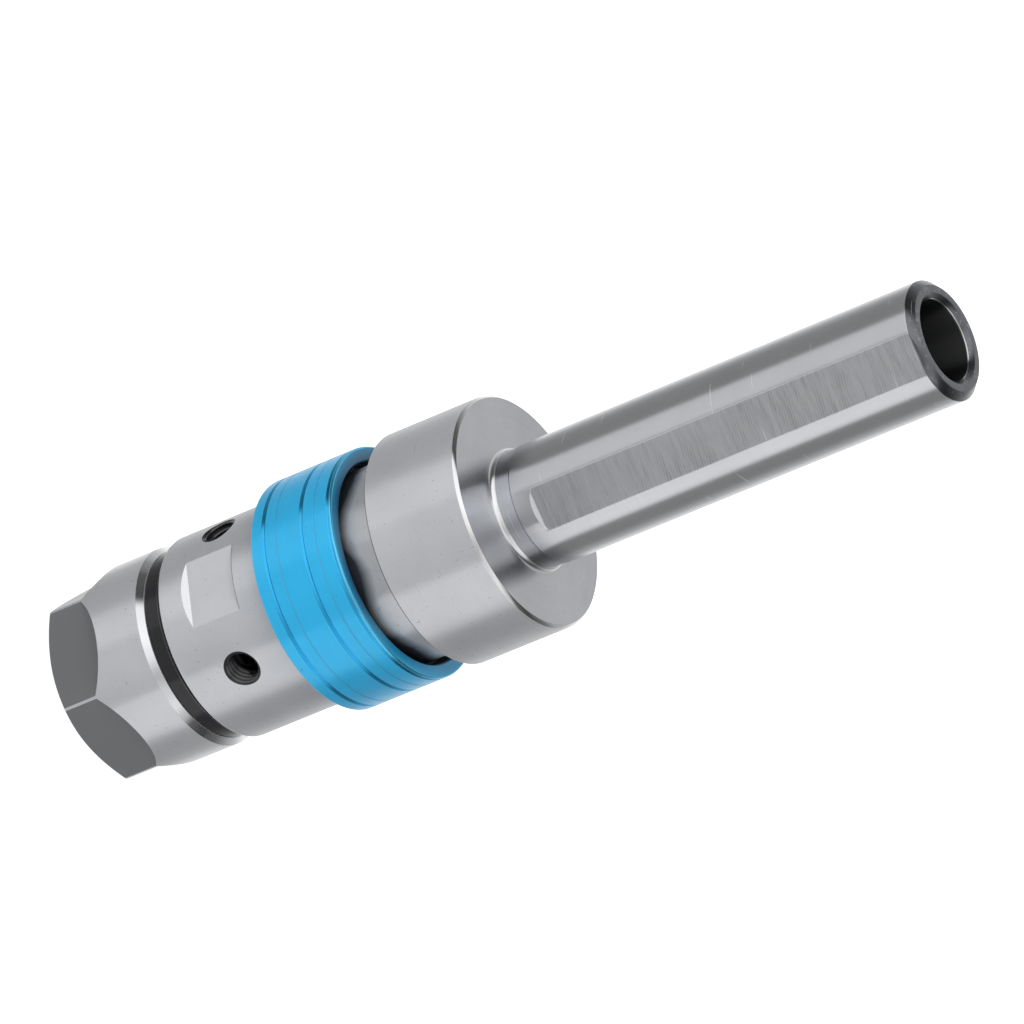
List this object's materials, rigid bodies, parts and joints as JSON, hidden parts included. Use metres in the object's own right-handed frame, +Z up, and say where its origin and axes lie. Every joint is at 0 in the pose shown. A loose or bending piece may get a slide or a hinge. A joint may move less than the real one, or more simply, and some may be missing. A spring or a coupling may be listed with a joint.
{
  "type": "floating tapping chuck",
  "caption": "Floating tapping chuck: straight shank with a clamping flat, sprung length float, side float under a blue cover ring, collet nut with milled flats.",
  "frame": {"origin": "centre of the clamp nut's nose face, on which the chuck stands", "axes": "+Z up the tool axis towards the shank's end, +X out of the shank's clamping flat"},
  "size_m": [0.039, 0.039, 0.1636],
  "materials": {
    "ground_steel": "ground, oiled",
    "blue_anodised": "turned and anodised blue",
    "nut_steel": "turned steel, milled flats, oiled",
    "collet_steel": "hardened and ground",
    "black_steel": "black oxide",
    "spring_steel": "drawn wire",
    "seal_rubber": "nitrile rubber"
  },
  "bodies": {
    "shank": {"shank_housing": "ground_steel", "wiper_seal": "seal_rubber", "spring_bush": "black_steel", "bush_spring_ring": "spring_steel", "compression_spring": "spring_steel", "return_spring": "spring_steel"},
    "spindle": {"float_spindle": "ground_steel", "drive_keys": "collet_steel", "pull_rod": "black_steel", "spring_seat": "black_steel", "rod_nut": "black_steel"},
    "drive": {"drive_disc": "collet_steel"},
    "chuck": {"chuck_body": "ground_steel", "cover_ring": "blue_anodised", "thrust_washer": "black_steel"},
    "clamp": {"collet": "collet_steel", "thrust_ring": "collet_steel"},
    "nut": {"clamp_nut": "nut_steel", "nut_snap_ring": "spring_steel"},
    "stop_screw": {"length_stop_screw": "black_steel"},
    "set_screw_1": {"set_screw_1": "black_steel"},
    "set_screw_2": {"set_screw_2": "black_steel"},
    "set_screw_3": {"set_screw_3": "black_steel"},
    "set_screw_4": {"set_screw_4": "black_steel"}
  },
  "joints": [
    {"name": "length_float", "type": "slide", "parent": "shank", "child": "spindle", "axis": [0, 0, 1], "range_m": [-0.005, 0.004], "stiffness_N_per_m": 8000, "deforming": ["compression_spring", "return_spring"]},
    {"name": "side_float_x", "type": "slide", "parent": "spindle", "child": "drive", "axis": [1, 0, 0], "range_m": [-0.0004, 0.0004]},
    {"name": "side_float_y", "type": "slide", "parent": "drive", "child": "chuck", "axis": [0, 1, 0], "range_m": [-0.0004, 0.0004]},
    {"name": "nut_advance", "type": "slide", "parent": "chuck", "child": "clamp", "axis": [0, 0, 1], "range_m": [-0.0045, 0]},
    {"name": "nut_turn", "type": "hinge", "parent": "clamp", "child": "nut", "pos_m": [0, 0, 0.01], "axis": [0, 0, 1], "range_deg": [-1080, 0]},
    {"name": "stop_travel", "type": "slide", "parent": "chuck", "child": "stop_screw", "axis": [0, 0, 1], "range_m": [-0.003, 0.0015]},
    {"name": "set_screw_1_travel", "type": "slide", "parent": "chuck", "child": "set_screw_1", "axis": [0.9548, 0.2974, 0], "range_m": [-0.0015, 0.002]},
    {"name": "set_screw_2_travel", "type": "slide", "parent": "chuck", "child": "set_screw_2", "axis": [-0.2974, 0.9548, 0], "range_m": [-0.0015, 0.002]},
    {"name": "set_screw_3_travel", "type": "slide", "parent": "chuck", "child": "set_screw_3", "axis": [-0.9548, -0.2974, 0], "range_m": [-0.0015, 0.002]},
    {"name": "set_screw_4_travel", "type": "slide", "parent": "chuck", "child": "set_screw_4", "axis": [0.2974, -0.9548, 0], "range_m": [-0.0015, 0.002]}
  ],
  "couplings": [
    {"joint": "nut_turn", "follows": "nut_advance", "rad_per_m": 4188.8}
  ]
}
